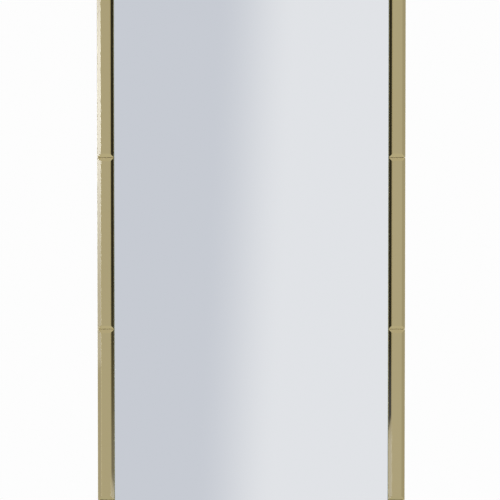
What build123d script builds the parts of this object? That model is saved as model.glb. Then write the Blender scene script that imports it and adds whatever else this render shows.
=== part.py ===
"""A full-length wall mirror edged with bevelled strips of tinted mirror glass.

Millimetres. X runs to the viewer's right, Y into the wall and Z up, so the front faces -Y.
The origin is the centre of the back, on the wall plane y = 0.
"""

from build123d import *
import math
import os

# Glass, seen from the front
overall_width = 600.0
rail_width = 32.4
side_tile_length = 333.6
side_tile_count = 5
end_tile_count = 2
tile_gap = 0.8
pane_gap = 0.6

# Glass, through its thickness
tile_thickness = 6.0
tile_edge_thickness = 4.0
bevel_width = 7.2
arris = 0.4
pane_thickness = 4.0

# Double-sided tape between the glass and the board
tape_thickness = 1.0
tape_width = 20.0
tape_end_margin = 12.0
pane_tape_count = 5
pane_tape_inset = 30.0

# Backing board and the battens behind it
board_thickness = 9.0
board_setback = 1.5
board_edge_ease = 1.2
batten_thickness = 12.0
batten_width = 40.0
batten_setback = 18.0
batten_edge_ease = 1.0

# Countersunk screws that hold the battens to the board
side_screw_count = 5
rail_screw_count = 2
screw_end_margin = 60.0
screw_radius = 2.0
screw_head_radius = 4.0
screw_head_sink = 0.3
screw_bite = 6.5
screw_tip_length = 3.0
screw_hole_clearance = 0.1
recess_length = 4.6
recess_width = 0.9
recess_depth = 1.4

# Ring hangers on the back of the board
hanger_spacing = 380.0
hanger_drop = 290.0
wire_radius = 1.5
ring_inner_width = 26.0
ring_corner_radius = 4.0
ring_leg_length = 4.0
knuckle_clearance = 0.08
strap_thickness = 1.2
strap_width = 18.0
strap_length = 54.0
strap_end_radius = 5.0
strap_crank_rise = 0.5
strap_crank_length = 4.0
knuckle_mouth_angle = 80.0
strap_screw_first = 31.0
strap_screw_pitch = 14.0
strap_screw_radius = 1.75
strap_screw_head_radius = 3.4
strap_screw_head_rim = 0.7
strap_screw_dome_height = 1.3
strap_screw_bite = 6.5
strap_hole_clearance = 0.25
strap_recess_length = 3.6
strap_recess_depth = 1.1

# What follows from the sizes above
overall_height = 2 * rail_width + side_tile_count * side_tile_length + (side_tile_count + 1) * tile_gap
opening_width = overall_width - 2 * rail_width
opening_height = overall_height - 2 * rail_width
end_tile_length = (overall_width - (end_tile_count - 1) * tile_gap) / end_tile_count
board_width = overall_width - 2 * board_setback
board_height = overall_height - 2 * board_setback
board_back_y = -batten_thickness
board_front_y = board_back_y - board_thickness
glass_back_y = board_front_y - tape_thickness
batten_frame_width = board_width - 2 * batten_setback
batten_frame_height = board_height - 2 * batten_setback
rail_batten_length = batten_frame_width - 2 * batten_width
side_batten_x = batten_frame_width / 2 - batten_width / 2
rail_batten_z = batten_frame_height / 2 - batten_width / 2
knuckle_bore = wire_radius + knuckle_clearance
knuckle_radius = knuckle_bore + strap_thickness
hanger_axis_y = board_back_y + strap_crank_rise + knuckle_radius
hanger_axis_z = overall_height / 2 - hanger_drop
ring_half_width = ring_inner_width / 2 + wire_radius


def spaced(count, span):
    """Evenly spaced places from -span/2 to span/2, or the middle alone for one."""
    if count == 1:
        return [0.0]
    return [span * (i / (count - 1) - 0.5) for i in range(count)]


def slab(width, height, back_y, thickness):
    """A flat rectangular piece centred on X and Z, with its back face at back_y."""
    middle = (0, back_y - thickness / 2, 0)
    return Pos(*middle) * Box(width, thickness, height)


def place(shape, x, z):
    return Pos(x, 0, z) * shape


def wall_side_edges(shape):
    """The edges of the face that looks at the wall."""
    return shape.faces().sort_by(Axis.Y)[-1].edges()


def room_side_edges(shape):
    """The edges of the face that looks into the room."""
    return shape.faces().sort_by(Axis.Y)[0].edges()


def bevelled_section(width):
    """A strip's section in across and depth: straight edge, ground arris and polished bevel."""
    half = width / 2
    right_side = [
        (half, 0),
        (half, tile_edge_thickness - arris),
        (half - arris, tile_edge_thickness),
        (half - bevel_width, tile_thickness),
    ]
    left_side = [(-across, depth) for across, depth in reversed(right_side)]
    return make_face(Polyline(*right_side, *left_side, close=True))


def bevelled_strip(width, height):
    """A strip bevelled on all four sides, its mitres made where two bevelled bars cross."""
    across = Plane(origin=(0, glass_back_y, height / 2), x_dir=(1, 0, 0), z_dir=(0, 0, -1))
    along = Plane(origin=(-width / 2, glass_back_y, 0), x_dir=(0, 0, 1), z_dir=(1, 0, 0))
    upright_bar = extrude(across * bevelled_section(width), height)
    level_bar = extrude(along * bevelled_section(height), width)
    return upright_bar & level_bar


def mirror_pane():
    width = opening_width - 2 * pane_gap
    height = opening_height - 2 * pane_gap
    pane = slab(width, height, glass_back_y, pane_thickness)
    return chamfer(room_side_edges(pane), arris)


def side_tile_z(index):
    """Height of a side strip's middle, counted down from 0 at the top."""
    pitch = side_tile_length + tile_gap
    return ((side_tile_count - 1) / 2 - index) * pitch


def end_tile_x(index):
    pitch = end_tile_length + tile_gap
    return (index - (end_tile_count - 1) / 2) * pitch


def glass_tiles():
    """Every edging strip by name: the two side columns, then the top and bottom rails."""
    side_x = overall_width / 2 - rail_width / 2
    rail_z = overall_height / 2 - rail_width / 2
    side_tile = bevelled_strip(rail_width, side_tile_length)
    end_tile = bevelled_strip(end_tile_length, rail_width)
    tiles = {}
    for side, x in (("left", -side_x), ("right", side_x)):
        for i in range(side_tile_count):
            tiles[f"{side}_tile_{i + 1}"] = place(side_tile, x, side_tile_z(i))
    for end, z in (("top", rail_z), ("bottom", -rail_z)):
        for i in range(end_tile_count):
            tiles[f"{end}_tile_{i + 1}"] = place(end_tile, end_tile_x(i), z)
    return tiles


def tape_strip(width, height):
    return slab(width, height, board_front_y, tape_thickness)


def pane_tapes():
    """Upright tapes that carry the pane."""
    height = opening_height - 2 * pane_tape_inset
    tape = tape_strip(tape_width, height)
    places = spaced(pane_tape_count, opening_width - 2 * pane_tape_inset)
    return [place(tape, x, 0) for x in places]


def tile_tapes():
    """One tape under each edging strip."""
    side_x = overall_width / 2 - rail_width / 2
    rail_z = overall_height / 2 - rail_width / 2
    side_tape = tape_strip(tape_width, side_tile_length - 2 * tape_end_margin)
    end_tape = tape_strip(end_tile_length - 2 * tape_end_margin, tape_width)
    tapes = []
    for x in (-side_x, side_x):
        tapes += [place(side_tape, x, side_tile_z(i)) for i in range(side_tile_count)]
    for z in (rail_z, -rail_z):
        tapes += [place(end_tape, end_tile_x(i), z) for i in range(end_tile_count)]
    return tapes


def turned(profile):
    """A turned piece about Y from a closed outline in radius and distance along Y."""
    face = make_face(Polyline(*profile, close=True))
    return revolve(face, Axis.Y)


def cross_recess(length, depth, face_y):
    """The two crossed slots in a screw head, cut in from face_y."""
    slot = Pos(0, face_y - depth / 2, 0) * Box(length, depth, recess_width)
    return slot + Rot(0, 90, 0) * slot


def countersunk_outline(spread):
    """Half of a countersunk screw below its top; spread widens it into the hole that it fills."""
    cone_foot = -screw_head_sink - (screw_head_radius - screw_radius)
    tip = board_back_y - screw_bite - spread
    return [
        (screw_head_radius + spread, -screw_head_sink),
        (screw_radius + spread, cone_foot),
        (screw_radius + spread, tip + screw_tip_length),
        (0, tip),
    ]


def batten_screw():
    screw = turned([(0, -screw_head_sink), *countersunk_outline(0)])
    return screw - cross_recess(recess_length, recess_depth, -screw_head_sink)


def batten_screw_hole():
    """The screw's hole through the batten into the board, open to the wall."""
    mouth = [(0, 0), (screw_head_radius + screw_hole_clearance, 0)]
    return turned([*mouth, *countersunk_outline(screw_hole_clearance)])


def side_screw_places():
    heights = spaced(side_screw_count, batten_frame_height - 2 * screw_end_margin)
    return [(x, z) for x in (-side_batten_x, side_batten_x) for z in heights]


def batten_screw_places():
    along_rail = spaced(rail_screw_count, rail_batten_length - 2 * screw_end_margin)
    places = side_screw_places()
    for z in (rail_batten_z, 0.0, -rail_batten_z):
        places += [(x, z) for x in along_rail]
    return places


def battens():
    """Two full-height side battens, with three rail battens between them."""
    blank_sizes = {
        "batten_left": (batten_width, batten_frame_height, -side_batten_x, 0),
        "batten_right": (batten_width, batten_frame_height, side_batten_x, 0),
        "batten_top": (rail_batten_length, batten_width, 0, rail_batten_z),
        "batten_middle": (rail_batten_length, batten_width, 0, 0),
        "batten_bottom": (rail_batten_length, batten_width, 0, -rail_batten_z),
    }
    hole = batten_screw_hole()
    pieces = {}
    for name, (width, height, x, z) in blank_sizes.items():
        blank = chamfer(wall_side_edges(slab(width, height, 0, batten_thickness)), batten_edge_ease)
        blank = place(blank, x, z)
        near = [p for p in batten_screw_places() if inside(p, width, height, x, z)]
        pieces[name] = blank - [place(hole, *p) for p in near]
    return pieces


def inside(point, width, height, x, z):
    return abs(point[0] - x) < width / 2 and abs(point[1] - z) < height / 2


def strap_screw():
    """A domed screw through the strap into the board."""
    shoulder = strap_thickness + strap_screw_head_rim
    head_top = shoulder + strap_screw_dome_height
    tip_foot = -strap_screw_bite + screw_tip_length
    dome = TangentArc((0, head_top), (strap_screw_head_radius, shoulder), tangent=(1, 0))
    rest = Polyline(
        (strap_screw_head_radius, shoulder),
        (strap_screw_head_radius, strap_thickness),
        (strap_screw_radius, strap_thickness),
        (strap_screw_radius, tip_foot),
        (0, -strap_screw_bite),
        (0, head_top),
    )
    screw = revolve(make_face(Curve() + [dome, rest]), Axis.Y)
    screw -= cross_recess(strap_recess_length, strap_recess_depth, head_top)
    return Pos(0, board_back_y, 0) * screw


def strap_screw_hole():
    """The pilot hole that a strap screw fills in the board."""
    radius = strap_screw_radius + screw_hole_clearance
    tip = -strap_screw_bite - screw_hole_clearance
    hole = turned([(0, 0), (radius, 0), (radius, tip + screw_tip_length), (0, tip)])
    return Pos(0, board_back_y, 0) * hole


def hanger_places():
    return {"left": -hanger_spacing / 2, "right": hanger_spacing / 2}


def strap_screw_drops():
    return [strap_screw_first, strap_screw_first + strap_screw_pitch]


def strap_screw_places():
    return [(x, hanger_axis_z - drop) for x in hanger_places().values() for drop in strap_screw_drops()]


def backing_board():
    board = slab(board_width, board_height, board_back_y, board_thickness)
    board = chamfer(wall_side_edges(board), board_edge_ease)
    board -= [place(batten_screw_hole(), *p) for p in batten_screw_places()]
    return board - [place(strap_screw_hole(), *p) for p in strap_screw_places()]


def strap_section():
    """The strap's bent section about the ring's axis: across is towards the wall, up is up."""
    plate_back = -knuckle_radius - strap_crank_rise
    plate_face = plate_back + strap_thickness
    plate = make_face(
        Polyline(
            (plate_back, -strap_length),
            (plate_face, -strap_length),
            (plate_face, -strap_crank_length),
            (-knuckle_bore, 0),
            (-knuckle_radius, 0),
            (plate_back, -strap_crank_length),
            close=True,
        )
    )
    reach = 2 * knuckle_radius
    lip = math.radians(180 + knuckle_mouth_angle)
    mouth = make_face(
        Polyline(
            (0, 0),
            (-reach, 0),
            (-reach, -reach),
            (reach * math.cos(lip), reach * math.sin(lip)),
            close=True,
        )
    )
    return Circle(knuckle_radius) - Circle(knuckle_bore) - mouth + plate


def hanger_strap():
    """A strap rolled into a knuckle round the ring's bar and drilled for its screws, at x = 0."""
    section_plane = Plane(origin=(-strap_width / 2, 0, 0), x_dir=(0, 1, 0), z_dir=(1, 0, 0))
    strap = extrude(section_plane * strap_section(), strap_width)
    lower_corners = strap.edges().filter_by(Axis.Y).group_by(Axis.Z)[0]
    strap = fillet(lower_corners, strap_end_radius)
    drill = Rot(90, 0, 0) * Cylinder(strap_screw_radius + strap_hole_clearance, 4 * knuckle_radius)
    strap -= [Pos(0, -knuckle_radius, -drop) * drill for drop in strap_screw_drops()]
    return strap


def hanger_ring():
    """A D-shaped wire ring hanging from its straight bar, about the bar's axis."""
    half = ring_half_width
    corner = ring_corner_radius
    legs_end = -corner - ring_leg_length
    diagonal = corner * math.sqrt(0.5)
    corner_z = -corner + diagonal
    corner_x = half - corner + diagonal
    path = Wire(
        [
            Edge.make_line((0, 0, 0), (half - corner, 0, 0)),
            Edge.make_three_point_arc((half - corner, 0, 0), (corner_x, 0, corner_z), (half, 0, -corner)),
            Edge.make_line((half, 0, -corner), (half, 0, legs_end)),
            Edge.make_three_point_arc((half, 0, legs_end), (0, 0, legs_end - half), (-half, 0, legs_end)),
            Edge.make_line((-half, 0, legs_end), (-half, 0, -corner)),
            Edge.make_three_point_arc((-half, 0, -corner), (-corner_x, 0, corner_z), (corner - half, 0, 0)),
            Edge.make_line((corner - half, 0, 0), (0, 0, 0)),
        ]
    )
    wire_section = Plane.YZ * Circle(wire_radius)
    return sweep(wire_section, path=path)


def parts():
    """Every piece by the name of its node."""
    pieces = {"mirror_pane": mirror_pane()}
    pieces.update(glass_tiles())
    pieces["pane_tape"] = pane_tapes()
    pieces["tile_tape"] = tile_tapes()
    pieces["backing_board"] = backing_board()
    pieces.update(battens())
    pieces["batten_screws"] = [place(batten_screw(), *p) for p in batten_screw_places()]
    pieces["hanger_screws"] = [place(strap_screw(), *p) for p in strap_screw_places()]
    for side, x in hanger_places().items():
        axis = Pos(x, hanger_axis_y, hanger_axis_z)
        pieces[f"hanger_strap_{side}"] = axis * hanger_strap()
        pieces[f"hanger_ring_{side}"] = axis * hanger_ring()
    return pieces


def main():
    os.makedirs("parts", exist_ok=True)
    for name, shape in parts().items():
        solids = shape if isinstance(shape, list) else [shape]
        export_step(Compound(children=solids) if len(solids) > 1 else solids[0], f"parts/{name}.step")


main()
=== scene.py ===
"""Looks of a full-length wall mirror edged with bevelled strips of gold-tinted mirror glass.

Metres. The mirror faces -Y, Z is up, and its back lies on y = 0.
"""
import bpy
import math
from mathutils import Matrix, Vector


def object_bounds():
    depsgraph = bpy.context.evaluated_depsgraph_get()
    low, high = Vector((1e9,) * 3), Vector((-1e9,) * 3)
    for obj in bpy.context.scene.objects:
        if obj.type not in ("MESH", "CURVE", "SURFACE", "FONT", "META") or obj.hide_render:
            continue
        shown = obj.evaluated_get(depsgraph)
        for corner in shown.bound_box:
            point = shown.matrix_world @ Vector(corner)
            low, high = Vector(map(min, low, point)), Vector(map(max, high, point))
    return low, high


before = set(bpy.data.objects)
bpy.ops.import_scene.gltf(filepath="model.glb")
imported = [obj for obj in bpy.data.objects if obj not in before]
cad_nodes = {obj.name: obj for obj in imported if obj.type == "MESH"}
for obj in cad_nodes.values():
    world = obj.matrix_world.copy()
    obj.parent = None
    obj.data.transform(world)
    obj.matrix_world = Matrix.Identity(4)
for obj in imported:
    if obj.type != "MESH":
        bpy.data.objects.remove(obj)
cad_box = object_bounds()

# The camera, from where the mirror lies in the picture
PICTURE_SIDE_PX = 500
MIRROR_WIDTH_PX = 308.0
MIRROR_CENTRE_PX = (251.3, 243.5)
CAMERA_DISTANCE = 3.2
CAMERA_ELEVATION = math.radians(1.4)
SENSOR_WIDTH_MM = 36.0

# Levels of the backdrop and of the soft light all round, where 1 is white
BACKDROP = 0.982
AMBIENT = 0.62

# Each lamp's place, width and watts; all of them aim at the middle of the mirror
LAMPS = {
    "key": ((-2.6, -3.2, 2.6), 2.2, 110.0),
    "fill": ((3.2, -2.4, 1.2), 2.4, 55.0),
    "back_key": ((2.4, 3.4, 2.4), 2.2, 100.0),
    "back_fill": ((-3.0, 2.6, 1.0), 2.4, 45.0),
    "top": ((0.0, 0.2, 3.6), 1.8, 60.0),
}

# A round floor, in rings that widen outwards, and how far out it fades
FLOOR_RADIUS = 4.0
FLOOR_RINGS = 24
FLOOR_SPOKES = 96
FLOOR_WIDENING = 1.5
FLOOR_GAP = 0.001
FLOOR_FADE = (0.8, 2.0)
FLOOR_COLOUR = 0.86
FLOOR_ROUGHNESS = 0.9


def rgba(value):
    """A colour for a socket, from a grey level or three levels, or the socket it comes from."""
    if isinstance(value, bpy.types.NodeSocket):
        return value
    if isinstance(value, (int, float)):
        return (value, value, value, 1.0)
    return (*value, 1.0)


class Graph:
    """Short names for the node arithmetic that the materials and the world share."""

    def __init__(self, tree):
        self.tree = tree
        tree.nodes.clear()

    def new(self, kind, **settings):
        node = self.tree.nodes.new(kind)
        for name, value in settings.items():
            setattr(node, name, value)
        return node

    def link(self, source, target):
        """Joins a socket, or sets a plain value, on a node's input."""
        if isinstance(source, bpy.types.NodeSocket):
            self.tree.links.new(source, target)
        else:
            target.default_value = source

    def put(self, node, **values):
        """Sets or links a node's inputs, named with underscores for spaces."""
        for name, value in values.items():
            socket = node.inputs[name.replace("_", " ")]
            if socket.type == "RGBA":
                value = rgba(value)
            self.link(value, socket)

    def math(self, operation, a, b=0.0):
        node = self.new("ShaderNodeMath", operation=operation)
        for socket, value in zip(node.inputs, (a, b)):
            self.link(value, socket)
        return node.outputs[0]

    def add(self, a, b):
        return self.math("ADD", a, b)

    def sub(self, a, b):
        return self.math("SUBTRACT", a, b)

    def mul(self, a, b):
        return self.math("MULTIPLY", a, b)

    def smooth(self, value, low, high, to_low=0.0, to_high=1.0):
        """to_low below low, to_high above high and a smooth step between."""
        node = self.new("ShaderNodeMapRange", interpolation_type="SMOOTHSTEP")
        for socket, setting in zip(node.inputs[:5], (value, low, high, to_low, to_high)):
            self.link(setting, socket)
        return node.outputs[0]

    def band(self, value, low, high, soft):
        """1 between low and high, falling to 0 over soft on each side."""
        rise = self.smooth(value, low - soft, low)
        fall = self.smooth(value, high, high + soft)
        return self.mul(rise, self.sub(1.0, fall))

    def mix(self, factor, a, b):
        """Between colours a and b."""
        node = self.new("ShaderNodeMix", data_type="RGBA")
        self.link(factor, node.inputs["Factor"])
        for name, value in (("A", a), ("B", b)):
            socket = [s for s in node.inputs if s.name == name and s.type == "RGBA"][0]
            self.link(rgba(value), socket)
        return [s for s in node.outputs if s.type == "RGBA"][0]

    def vector(self, operation, a, b=(0.0, 0.0, 0.0)):
        node = self.new("ShaderNodeVectorMath", operation=operation)
        self.link(a, node.inputs[0])
        self.link(b, node.inputs[1])
        return node.outputs["Value" if operation == "LENGTH" else "Vector"]

    def split(self, vector):
        node = self.new("ShaderNodeSeparateXYZ")
        self.link(vector, node.inputs[0])
        return node.outputs

    def join(self, x, y, z):
        node = self.new("ShaderNodeCombineXYZ")
        for socket, value in zip(node.inputs, (x, y, z)):
            self.link(value, socket)
        return node.outputs[0]

    def place(self, stretch=(1.0, 1.0, 1.0)):
        """The object's own coordinates, stretched."""
        return self.vector("MULTIPLY", self.new("ShaderNodeTexCoord").outputs["Object"], stretch)

    def facing(self):
        """How squarely the surface faces the room or the wall, from 0 to 1."""
        normal = self.new("ShaderNodeNewGeometry").outputs["True Normal"]
        return self.math("ABSOLUTE", self.split(normal)[1])

    def noise(self, vector, scale, detail, roughness):
        node = self.new("ShaderNodeTexNoise")
        self.put(node, Vector=vector, Scale=scale, Detail=detail, Roughness=roughness)
        return node.outputs["Fac"]

    def cells(self, vector, scale):
        """The outputs of a pattern of cells."""
        node = self.new("ShaderNodeTexVoronoi", feature="F1")
        self.put(node, Vector=vector, Scale=scale)
        return node.outputs

    def bump(self, height, distance, strength):
        node = self.new("ShaderNodeBump")
        self.put(node, Height=height, Distance=distance, Strength=strength)
        return node.outputs["Normal"]


def new_material(name):
    """A material, its graph with the output's surface socket, and its Principled shader."""
    material = bpy.data.materials.new(name)
    material.use_nodes = True
    graph = Graph(material.node_tree)
    shader = graph.new("ShaderNodeBsdfPrincipled")
    graph.surface = graph.new("ShaderNodeOutputMaterial").inputs["Surface"]
    graph.link(shader.outputs[0], graph.surface)
    return material, graph, shader


# What the glass reflects: directions in degrees, and levels as a perfect mirror would show them
PANEL_SLANT = -0.046
PANEL_TURN = (-1.53, 1.37)
PANEL_LEFT = (0.634, 0.660, 0.716)
PANEL_RIGHT = (0.836, 0.850, 0.878)
FACE_FADE = (5.0, 6.0)
FACE_TONE = (0.66, 0.67, 0.71)
RIM_FADE = (8.0, 11.5)
RIM_RISE = (12.8, 14.4)
RIM_LOW = 0.53
RIM_HIGH = 0.60

# The dark sides, and the slanted lines where they meet the floor
SIDE_IN = (20.5, 23.5)
SIDE_AT = 25.0
SIDE_DARK = 0.042
SIDE_LOW = 0.25
FLOOR_LEVEL = 0.50
FLOOR_SLOPE = 5.0
LEFT_SIDE_RISE = (-10.0, -2.0)
LEFT_FLOOR_LINE = (-9.45, -9.25)
RIGHT_FLOOR_LINE = (-7.88, -7.68)

# The low light on each side and its glow, the room beyond it, and the tall strip light
LOW_LIGHT_IN = (26.2, 27.2)
LOW_LIGHT = 3.8
LOW_LIGHT_GLOW = 0.85
LOW_LIGHT_OFF = 0.03
LOW_LIGHT_LIFT = 1.87
LOW_LIGHT_TOP = (-10.1, -8.9)
LOW_LIGHT_FADE = (-8.9, -6.0)
LOW_LIGHT_FOOT = (-20.5, -16.5)
ROOM_IN = (30.5, 33.0)
ROOM_TURN = (-14.5, 9.5)
ROOM_LOW = (0.80, 0.80, 0.81)
ROOM_HIGH = (0.90, 0.91, 0.93)
STRIP_WIDTH = (-38.9, -35.0)
STRIP_SOFT = 0.8
STRIP_FOOT = (-5.7, -5.0)
STRIP_FOOT_LEVEL = 1.5
STRIP_RISE = (-4.0, 3.7)
STRIP_LOW = 3.9
STRIP_HIGH = 12.5
STRIP_TOP = (5.3, 7.9)
STRIP_TOP_LEVEL = 0.72

# The floor and the ceiling, which steep directions show, with a paler bay on each side
FLOOR_FALL = (-48.0, -15.0)
FLOOR_NEAR = (0.34, 0.35, 0.37)
FLOOR_FAR = (0.70, 0.71, 0.74)
BAY_IN = (12.0, 24.0)
BAY_SLANT = 0.16
BAY_TURN = (38.0, 44.0)
BAY_NEAR = (0.56, 0.57, 0.59)
BAY_FAR = (0.93, 0.94, 0.96)
CEILING = (0.52, 0.53, 0.56)
STEEP_START = (13.5, 9.4)
STEEP_NARROW = (12.0, 16.0)
STEEP_SOFT = 2.4
STEEP_LIFT = 1.0
STEEP_LOW = (0.70, 0.70, 0.71)
STEEP_HIGH = (0.73, 0.74, 0.76)


def studio_ahead(graph, azimuth, elevation):
    """A pale panel straight ahead, and the greys that the strips' faces and outer bevels turn to."""
    side = graph.math("ABSOLUTE", azimuth)
    panel_edge = graph.add(azimuth, graph.mul(elevation, PANEL_SLANT))
    panel = graph.mix(graph.smooth(panel_edge, *PANEL_TURN), PANEL_LEFT, PANEL_RIGHT)
    colour = graph.mix(graph.smooth(side, *FACE_FADE), panel, FACE_TONE)
    rim = graph.smooth(side, *RIM_RISE, RIM_LOW, RIM_HIGH)
    return graph.mix(graph.smooth(side, *RIM_FADE), colour, rim)


def studio_side(graph, azimuth, elevation, on_left):
    """The dark sides, down to where each meets the pale floor in a slanted line."""
    left = graph.smooth(elevation, *LEFT_SIDE_RISE, SIDE_LOW, SIDE_DARK)
    left_line = graph.add(elevation, graph.mul(graph.add(azimuth, SIDE_AT), FLOOR_SLOPE))
    left = graph.smooth(left_line, *LEFT_FLOOR_LINE, FLOOR_LEVEL, left)
    right_line = graph.sub(elevation, graph.mul(graph.sub(azimuth, SIDE_AT), FLOOR_SLOPE))
    right = graph.smooth(right_line, *RIGHT_FLOOR_LINE, FLOOR_LEVEL, SIDE_DARK)
    return graph.mix(on_left, right, left)


def studio_low_light(graph, elevation, on_left):
    """A low light beyond each dark side, with a glow above it."""
    from_top = graph.sub(elevation, graph.mul(on_left, LOW_LIGHT_LIFT))
    glow = graph.smooth(from_top, *LOW_LIGHT_FADE, LOW_LIGHT_GLOW, LOW_LIGHT_OFF)
    light = graph.smooth(from_top, *LOW_LIGHT_TOP, LOW_LIGHT, glow)
    return graph.smooth(elevation, *LOW_LIGHT_FOOT, LOW_LIGHT_OFF, light)


def studio_strip_light(graph, elevation):
    """The level of a tall strip light on the left, which is brightest a little above the horizon."""
    level = graph.smooth(elevation, *STRIP_RISE, STRIP_LOW, STRIP_HIGH)
    level = graph.mul(level, graph.smooth(elevation, *STRIP_TOP, 1.0, STRIP_TOP_LEVEL))
    return graph.smooth(elevation, *STRIP_FOOT, STRIP_FOOT_LEVEL, level)


def studio_floor_and_ceiling(graph, side, elevation):
    """What steep directions show: the floor, with a paler bay on each side, and the ceiling."""
    fall = graph.smooth(elevation, *FLOOR_FALL)
    floor = graph.mix(fall, FLOOR_NEAR, FLOOR_FAR)
    bay = graph.mix(fall, BAY_NEAR, BAY_FAR)
    bay_edge = graph.add(side, graph.mul(elevation, BAY_SLANT))
    floor = graph.mix(graph.smooth(bay_edge, *BAY_TURN), floor, bay)
    aside = graph.smooth(side, *BAY_IN)
    low = graph.mix(aside, STEEP_LOW, floor)
    high = graph.mix(aside, STEEP_HIGH, CEILING)
    return graph.mix(graph.math("GREATER_THAN", elevation, 0.0), low, high)


def studio_reflection(graph, azimuth, elevation):
    """What the glass reflects, by direction, from straight ahead out to the sides and then up and down."""
    side = graph.math("ABSOLUTE", azimuth)
    on_left = graph.math("LESS_THAN", azimuth, 0.0)
    colour = studio_ahead(graph, azimuth, elevation)
    dark_side = studio_side(graph, azimuth, elevation, on_left)
    colour = graph.mix(graph.smooth(side, *SIDE_IN), colour, dark_side)
    low_light = studio_low_light(graph, elevation, on_left)
    colour = graph.mix(graph.smooth(side, *LOW_LIGHT_IN), colour, low_light)
    room = graph.mix(graph.smooth(elevation, *ROOM_TURN), ROOM_LOW, ROOM_HIGH)
    colour = graph.mix(graph.smooth(side, *ROOM_IN), colour, room)
    strip = graph.band(azimuth, *STRIP_WIDTH, STRIP_SOFT)
    colour = graph.mix(strip, colour, studio_strip_light(graph, elevation))

    height = graph.math("ABSOLUTE", graph.add(elevation, STEEP_LIFT))
    steep_start = graph.smooth(side, *STEEP_NARROW, *STEEP_START)
    steep = graph.smooth(height, steep_start, graph.add(steep_start, STEEP_SOFT))
    return graph.mix(steep, colour, studio_floor_and_ceiling(graph, side, elevation))


def make_world():
    """White to the camera, a soft ambient on dull surfaces, and the studio in what is glossy."""
    world = bpy.data.worlds.new("studio")
    bpy.context.scene.world = world
    world.use_nodes = True
    graph = Graph(world.node_tree)
    x, y, z = graph.split(graph.new("ShaderNodeTexCoord").outputs["Generated"])
    azimuth = graph.math("DEGREES", graph.math("ARCTAN2", x, graph.mul(y, -1.0)))
    elevation = graph.math("DEGREES", graph.math("ARCSINE", z))
    rays = graph.new("ShaderNodeLightPath").outputs
    colour = graph.mix(rays["Is Glossy Ray"], AMBIENT, studio_reflection(graph, azimuth, elevation))
    colour = graph.mix(rays["Is Camera Ray"], colour, BACKDROP)
    colour = graph.mix(rays["Is Transmission Ray"], colour, BACKDROP)
    background = graph.new("ShaderNodeBackground")
    graph.put(background, Color=colour)
    out = graph.new("ShaderNodeOutputWorld")
    graph.link(background.outputs[0], out.inputs["Surface"])


# Glass: a noise's three values are its scale, detail and roughness
GLASS_IOR = 1.52
GROUND_EDGE = (0.80, 0.84)
SILVER = (0.895, 0.900, 0.905)
SILVER_EDGE = (0.30, 0.42, 0.38)
SILVER_EDGE_ROUGHNESS = 0.38
SILVER_HAZE = 0.006
HAZE_NOISE = (9.0, 4.0, 0.6)
GOLD_DEEP = (0.590, 0.487, 0.226)
GOLD_PALE = (0.610, 0.507, 0.242)
GOLD_EDGE = (0.50, 0.42, 0.20)
GOLD_EDGE_DULLNESS = 0.9
GOLD_EDGE_ROUGHNESS = 0.36
GOLD_ROUGHNESS = 0.012
CLOUD_NOISE = (5.0, 3.0, 0.5)

# The strips' bevels: their width and drop, and how far a side bevel's normal points sideways
BEVEL_WIDTH = 0.0072
BEVEL_DROP = 0.0020
BEVEL_SIDE_TILT = 0.282

# The silvering seen through a strip's glass: its tilt as a share of the bevel's, and its lean on the face
BEVEL_TURN = -0.57
CREASE_TURN = -0.38
FACE_LEAN = 0.010
FACE_CREASE_LEAN = -0.075
FLAT_FACE = -0.99

# How far from the crease the view still crosses it: on the bevel, less on outer ones, and on the face
CREASE_REACH = 0.00115
CREASE_REACH_SWING = 0.00045
FACE_CREASE_REACH = 0.0007


def glass_edge_mask(graph):
    """1 on the ground edges and arrises of a glass piece, 0 on its faces and bevels, which face the room."""
    return graph.smooth(graph.facing(), *GROUND_EDGE, 1.0, 0.0)


def silver_mirror():
    """Clear silvered float glass: a neutral mirror with a dull, ground, greenish edge."""
    material, graph, shader = new_material("silver_mirror")
    edge = glass_edge_mask(graph)
    haze = graph.noise(graph.place(), *HAZE_NOISE)
    graph.put(
        shader,
        Base_Color=graph.mix(edge, SILVER, SILVER_EDGE),
        Metallic=graph.sub(1.0, edge),
        Roughness=graph.add(graph.mul(haze, SILVER_HAZE), graph.mul(edge, SILVER_EDGE_ROUGHNESS)),
        Coat_Weight=1.0,
        Coat_Roughness=0.0,
        Coat_IOR=GLASS_IOR,
    )
    return material


def silvering_normal(graph, edge):
    """The silvering's apparent tilt behind the strips' glass, and the true normal on their ground edges.

    A bevel is a prism, so it turns the view towards the thick of the strip. Beside a crease the view comes
    in by the bevel and leaves by the face, or the other way round, and turns about two thirds as far.
    """
    across, facing, up = graph.split(graph.new("ShaderNodeNewGeometry").outputs["Normal"])
    place_x, place_y, _ = graph.split(graph.place())
    side = graph.math("SIGN", place_x)
    outward = graph.math("DIVIDE", graph.mul(across, side), BEVEL_SIDE_TILT)
    reach = graph.sub(CREASE_REACH, graph.mul(outward, CREASE_REACH_SWING))
    from_crease = graph.mul(graph.sub(place_y, cad_box[0][1]), BEVEL_WIDTH / BEVEL_DROP)
    by_crease = graph.math("LESS_THAN", from_crease, reach)
    turn = graph.add(BEVEL_TURN, graph.mul(by_crease, CREASE_TURN - BEVEL_TURN))

    crease_x = cad_box[1][0] - BEVEL_WIDTH
    by_crease = graph.math("GREATER_THAN", graph.math("ABSOLUTE", place_x), crease_x - FACE_CREASE_REACH)
    by_crease = graph.mul(by_crease, graph.math("LESS_THAN", facing, FLAT_FACE))
    lean = graph.mul(side, graph.add(FACE_LEAN, graph.mul(by_crease, FACE_CREASE_LEAN)))

    glass = graph.sub(1.0, edge)
    turn = graph.add(graph.mul(turn, glass), edge)
    lean = graph.mul(lean, glass)
    tilted = graph.join(graph.add(graph.mul(across, turn), lean), facing, graph.mul(up, turn))
    return graph.vector("NORMALIZE", tilted)


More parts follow.
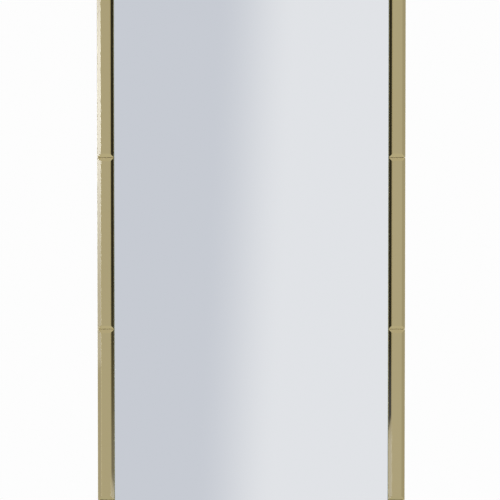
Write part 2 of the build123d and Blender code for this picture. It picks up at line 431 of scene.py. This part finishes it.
def gold_mirror():
    """Champagne-gold tinted mirror glass with polished bevels and ground edges."""
    material, graph, shader = new_material("gold_mirror")
    edge = glass_edge_mask(graph)
    cloud = graph.noise(graph.place(), *CLOUD_NOISE)
    tint = graph.mix(cloud, GOLD_DEEP, GOLD_PALE)
    graph.put(
        shader,
        Base_Color=graph.mix(edge, tint, GOLD_EDGE),
        Metallic=graph.sub(1.0, graph.mul(edge, GOLD_EDGE_DULLNESS)),
        Roughness=graph.add(GOLD_ROUGHNESS, graph.mul(edge, GOLD_EDGE_ROUGHNESS)),
        Normal=silvering_normal(graph, edge),
        Coat_Weight=1.0,
        Coat_Roughness=0.0,
        Coat_IOR=GLASS_IOR,
    )
    return material


# Fibreboard and the black paint on its edges: a bump's two values are its distance and strength
BOARD_FACE = (0.80, 0.95)
BOARD_DARK = (0.235, 0.142, 0.078)
BOARD_PALE = (0.375, 0.248, 0.148)
BOARD_MOTTLED = (0.44, 0.31, 0.20)
BOARD_EXTRA_ROUGHNESS = 0.25
FIBRE_NOISE = (900.0, 4.0, 0.7)
FIBRE_STRETCH = (1.0, 1.0, 0.35)
FIBRE_TURN = (0.30, 0.72)
FIBRE_BUMP = (0.0004, 0.35)
MOTTLE_NOISE = (14.0, 4.0, 0.6)
MOTTLE_SHARE = 0.35
PAINT_DEEP = (0.012, 0.012, 0.012)
PAINT_PALE = (0.028, 0.027, 0.026)
PAINT_ROUGHNESS = 0.55


def board_fibre():
    """Raw fibreboard, rougher than the black paint on its edges."""
    material, graph, shader = new_material("board_fibre")
    raw = graph.smooth(graph.facing(), *BOARD_FACE)
    fibres = graph.noise(graph.place(FIBRE_STRETCH), *FIBRE_NOISE)
    mottle = graph.noise(graph.place(), *MOTTLE_NOISE)
    brown = graph.mix(graph.smooth(fibres, *FIBRE_TURN), BOARD_DARK, BOARD_PALE)
    brown = graph.mix(graph.mul(mottle, MOTTLE_SHARE), brown, BOARD_MOTTLED)
    black = graph.mix(fibres, PAINT_DEEP, PAINT_PALE)
    graph.put(
        shader,
        Base_Color=graph.mix(raw, black, brown),
        Roughness=graph.add(PAINT_ROUGHNESS, graph.mul(raw, BOARD_EXTRA_ROUGHNESS)),
        Normal=graph.bump(fibres, *FIBRE_BUMP),
    )
    return material


# Softwood: its growth rings
RING_WIDTH = 0.0042
RING_WAVER = 0.5
RING_DRIFT = 0.020
DRIFT_NOISE = (3.6, 2.0, 0.5)
LATE_RISE = (0.25, 0.88)
LATE_FALL = (0.92, 1.0)
LATE_SHARE = 0.62

# Softwood: its grain, stretched along the batten, and its pores
GRAIN_STRETCH = 0.045
WAVER_NOISE = (60.0, 3.0, 0.6)
WAVER_TURN = (0.35, 0.75)
WAVER_SHARE = 0.22
PORE_NOISE = (700.0, 3.0, 0.6)
PORE_TURN = (0.50, 0.80)
PORE_SHARE = 0.35
PORE_ROUGHNESS = 0.2
WOOD_ROUGHNESS = 0.52
LATE_HEIGHT = 0.6
PORE_HEIGHT = 0.4
WOOD_BUMP = (0.00025, 0.4)
WOOD_EARLY = (0.680, 0.490, 0.285)
WOOD_LATE = (0.470, 0.285, 0.128)
WOOD_PORE = (0.40, 0.24, 0.12)

# Softwood: its knots, with reaches in knot sizes from the knot's centre
KNOT_SQUASH = 0.75
KNOT_PUSH = 0.9
KNOT_PUSH_REACH = (0.6, 2.6)
KNOT_RAGGED = 0.5
KNOT_NOISE = (420.0, 2.0, 0.5)
KNOT_RIM_REACH = (0.35, 1.05)
KNOT_END = (0.95, 1.25)
KNOT_SHARE = 0.85
KNOT_HEART = (0.370, 0.195, 0.085)
KNOT_RIM = (0.150, 0.070, 0.030)
NO_KNOT_NEAR = 9.0

# Each batten's pith, across it and in depth, its grain's slope, and its knots, along, across and in size
BATTENS = {
    "left": ((-0.262, 0.021), 0.016, ((0.478, -0.268, 0.0060), (-0.512, -0.252, 0.0045))),
    "right": ((0.250, 0.034), -0.021, ((-0.236, 0.261, 0.0065),)),
    "top": ((0.830, 0.026), 0.030, ((0.118, 0.838, 0.0050),)),
    "middle": ((0.010, 0.030), -0.034, ((-0.142, -0.007, 0.0055),)),
    "bottom": ((-0.846, 0.024), 0.022, ((0.171, -0.842, 0.0048),)),
}


def batten_wood(side, pith, slope, knots):
    """Planed softwood: growth rings round a pith that runs nearly along the batten, and a few knots."""
    material, graph, shader = new_material(f"batten_wood_{side}")
    x, y, z = graph.split(graph.place())
    upright = side in ("left", "right")
    along, across = (z, x) if upright else (x, z)
    pith_across, pith_depth = pith
    drift = graph.mul(graph.noise(graph.place(), *DRIFT_NOISE), RING_DRIFT)
    ring_across = graph.sub(graph.sub(across, pith_across), graph.add(graph.mul(along, slope), drift))
    from_pith = graph.vector("LENGTH", graph.join(ring_across, graph.sub(y, pith_depth), 0.0))

    nearest_knot = NO_KNOT_NEAR
    for knot_along, knot_across, size in knots:
        offset_along = graph.mul(graph.sub(along, knot_along), KNOT_SQUASH)
        offset = graph.join(offset_along, graph.sub(across, knot_across), 0.0)
        from_knot = graph.mul(graph.vector("LENGTH", offset), 1.0 / size)
        push = graph.smooth(from_knot, *KNOT_PUSH_REACH, KNOT_PUSH * size, 0.0)
        from_pith = graph.add(from_pith, push)
        nearest_knot = graph.math("MINIMUM", nearest_knot, from_knot)
    ragged = graph.mul(graph.noise(graph.place(), *KNOT_NOISE), KNOT_RAGGED)
    ragged = graph.add(nearest_knot, ragged)

    grain = graph.place((1.0, 1.0, GRAIN_STRETCH) if upright else (GRAIN_STRETCH, 1.0, 1.0))
    waver = graph.noise(grain, *WAVER_NOISE)
    rings = graph.add(graph.mul(from_pith, 1.0 / RING_WIDTH), graph.mul(waver, RING_WAVER))
    ring = graph.math("FRACT", rings)
    late = graph.mul(graph.smooth(ring, *LATE_RISE), graph.smooth(ring, *LATE_FALL, 1.0, 0.0))
    pores = graph.noise(grain, *PORE_NOISE)
    colour = graph.mix(graph.mul(late, LATE_SHARE), WOOD_EARLY, WOOD_LATE)
    colour = graph.mix(graph.smooth(pores, *PORE_TURN, 0.0, PORE_SHARE), colour, WOOD_PORE)
    colour = graph.mix(graph.smooth(waver, *WAVER_TURN, 0.0, WAVER_SHARE), colour, WOOD_LATE)
    knot = graph.mix(graph.smooth(ragged, *KNOT_RIM_REACH), KNOT_HEART, KNOT_RIM)
    colour = graph.mix(graph.smooth(ragged, *KNOT_END, KNOT_SHARE, 0.0), colour, knot)
    relief = graph.add(graph.mul(late, LATE_HEIGHT), graph.mul(pores, PORE_HEIGHT))
    graph.put(
        shader,
        Base_Color=colour,
        Roughness=graph.add(WOOD_ROUGHNESS, graph.mul(pores, PORE_ROUGHNESS)),
        Normal=graph.bump(relief, *WOOD_BUMP),
    )
    return material


# Foam tape
FOAM_CELL_SCALE = 2600.0
FOAM_DEEP = (0.60, 0.60, 0.58)
FOAM_PALE = (0.78, 0.78, 0.76)
FOAM_ROUGHNESS = 0.85
FOAM_BUMP = (0.0002, 0.4)

# Plated steel: zinc on the hangers and their screws, yellow zinc on the battens' screws
SPANGLE_SCALE = 900.0
MARK_NOISE = (1500.0, 3.0, 0.6)
MARK_SHARE = 0.3
MARK_ROUGHNESS = 0.22
MARK_BUMP = (0.00005, 0.25)
STEEL_ROUGHNESS = 0.20
ZINC = (0.72, 0.73, 0.75)
ZINC_DARK = (0.58, 0.60, 0.63)
ZINC_STRETCH = (1.0, 1.0, 0.1)
YELLOW_ZINC = (0.80, 0.69, 0.42)
YELLOW_ZINC_DARK = (0.56, 0.45, 0.24)
YELLOW_ZINC_STRETCH = (1.0, 1.0, 1.0)


def tape_foam():
    """White closed-cell foam tape."""
    material, graph, shader = new_material("tape_foam")
    cell = graph.cells(graph.place(), FOAM_CELL_SCALE)["Distance"]
    graph.put(
        shader,
        Base_Color=graph.mix(cell, FOAM_DEEP, FOAM_PALE),
        Roughness=FOAM_ROUGHNESS,
        Normal=graph.bump(cell, *FOAM_BUMP),
    )
    return material


def plated_steel(name, colour, dark, stretch):
    """Zinc-plated steel: faint crystals in the plating and fine handling marks."""
    material, graph, shader = new_material(name)
    crystal = graph.split(graph.cells(graph.place(), SPANGLE_SCALE)["Color"])[0]
    marks = graph.noise(graph.place(stretch), *MARK_NOISE)
    tone = graph.mix(crystal, colour, dark)
    graph.put(
        shader,
        Base_Color=graph.mix(graph.mul(marks, MARK_SHARE), tone, dark),
        Metallic=1.0,
        Roughness=graph.add(STEEL_ROUGHNESS, graph.mul(marks, MARK_ROUGHNESS)),
        Normal=graph.bump(marks, *MARK_BUMP),
    )
    return material


def dress(name_start, material):
    """Gives one material to every CAD node whose name starts so."""
    for name, node in cad_nodes.items():
        if name.startswith(name_start):
            node.data.materials.clear()
            node.data.materials.append(material)


def dress_nodes():
    """Gives each CAD node its material."""
    gold = gold_mirror()
    for side in ("left", "right", "top", "bottom"):
        dress(f"{side}_tile", gold)
    dress("mirror_pane", silver_mirror())
    dress("backing_board", board_fibre())
    for side, looks in BATTENS.items():
        dress(f"batten_{side}", batten_wood(side, *looks))
    foam = tape_foam()
    dress("pane_tape", foam)
    dress("tile_tape", foam)
    zinc = plated_steel("hanger_zinc", ZINC, ZINC_DARK, ZINC_STRETCH)
    for name_start in ("hanger_strap", "hanger_ring", "hanger_screws"):
        dress(name_start, zinc)
    yellow_zinc = plated_steel("screw_zinc", YELLOW_ZINC, YELLOW_ZINC_DARK, YELLOW_ZINC_STRETCH)
    dress("batten_screws", yellow_zinc)


def floor_mesh():
    """A flat disc of rings and spokes round its own middle."""
    verts = [(0.0, 0.0, 0.0)]
    for ring in range(1, FLOOR_RINGS + 1):
        radius = FLOOR_RADIUS * (ring / FLOOR_RINGS) ** FLOOR_WIDENING
        turns = [2 * math.pi * spoke / FLOOR_SPOKES for spoke in range(FLOOR_SPOKES)]
        verts += [(radius * math.cos(turn), radius * math.sin(turn), 0.0) for turn in turns]
    faces = [(0, 1 + spoke, 1 + (spoke + 1) % FLOOR_SPOKES) for spoke in range(FLOOR_SPOKES)]
    for ring in range(FLOOR_RINGS - 1):
        inner = 1 + ring * FLOOR_SPOKES
        outer = inner + FLOOR_SPOKES
        for spoke in range(FLOOR_SPOKES):
            after = (spoke + 1) % FLOOR_SPOKES
            faces.append((inner + spoke, outer + spoke, outer + after, inner + after))
    mesh = bpy.data.meshes.new("floor")
    mesh.from_pydata(verts, [], faces)
    return mesh


def floor_paint():
    """Pale and dull, and clear further out, so that the floor ends in the backdrop."""
    material, graph, shader = new_material("floor")
    graph.put(shader, Base_Color=FLOOR_COLOUR, Roughness=FLOOR_ROUGHNESS)
    clear = graph.new("ShaderNodeBsdfTransparent")
    blend = graph.new("ShaderNodeMixShader")
    from_middle = graph.vector("LENGTH", graph.place())
    graph.link(graph.smooth(from_middle, *FLOOR_FADE), blend.inputs[0])
    graph.link(shader.outputs[0], blend.inputs[1])
    graph.link(clear.outputs[0], blend.inputs[2])
    graph.link(blend.outputs[0], graph.surface)
    return material


def make_floor():
    """A pale round floor just under the mirror, left out of what the glass reflects."""
    mesh = floor_mesh()
    mesh.materials.append(floor_paint())
    floor = bpy.data.objects.new("floor", mesh)
    floor.location = (0.0, (cad_box[0][1] + cad_box[1][1]) / 2, cad_box[0][2] - FLOOR_GAP)
    bpy.context.collection.objects.link(floor)
    floor.visible_glossy = False


def aim(obj, target):
    """Turns a lamp or the camera towards a point."""
    direction = Vector(target) - obj.location
    obj.rotation_euler = direction.to_track_quat("-Z", "Y").to_euler()


def make_lamps():
    """Round lamps in front and behind, which light dull surfaces and aren't seen in the glass."""
    for name, (place, size, watts) in LAMPS.items():
        data = bpy.data.lights.new(name, "AREA")
        data.shape = "DISK"
        data.size = size
        data.energy = watts
        lamp = bpy.data.objects.new(name, data)
        lamp.location = place
        bpy.context.collection.objects.link(lamp)
        aim(lamp, (0.0, 0.0, 0.0))
        lamp.visible_glossy = False
        lamp.visible_camera = False


def make_camera():
    """The picture's own view: straight on, a little above the middle of the mirror."""
    low, high = cad_box
    px_per_metre = MIRROR_WIDTH_PX / (high[0] - low[0])
    target = Vector((
        (PICTURE_SIDE_PX / 2 - MIRROR_CENTRE_PX[0]) / px_per_metre,
        low[1],
        -(PICTURE_SIDE_PX / 2 - MIRROR_CENTRE_PX[1]) / px_per_metre,
    ))
    back = Vector((0.0, -math.cos(CAMERA_ELEVATION), math.sin(CAMERA_ELEVATION)))
    data = bpy.data.cameras.new("camera")
    data.sensor_width = SENSOR_WIDTH_MM
    data.lens = SENSOR_WIDTH_MM * px_per_metre * CAMERA_DISTANCE / PICTURE_SIDE_PX
    camera = bpy.data.objects.new("camera", data)
    camera.location = target + back * CAMERA_DISTANCE
    bpy.context.collection.objects.link(camera)
    aim(camera, target)
    bpy.context.scene.camera = camera


make_camera()
make_world()
make_lamps()
make_floor()
dress_nodes()

bpy.context.scene.view_settings.view_transform = "Standard"
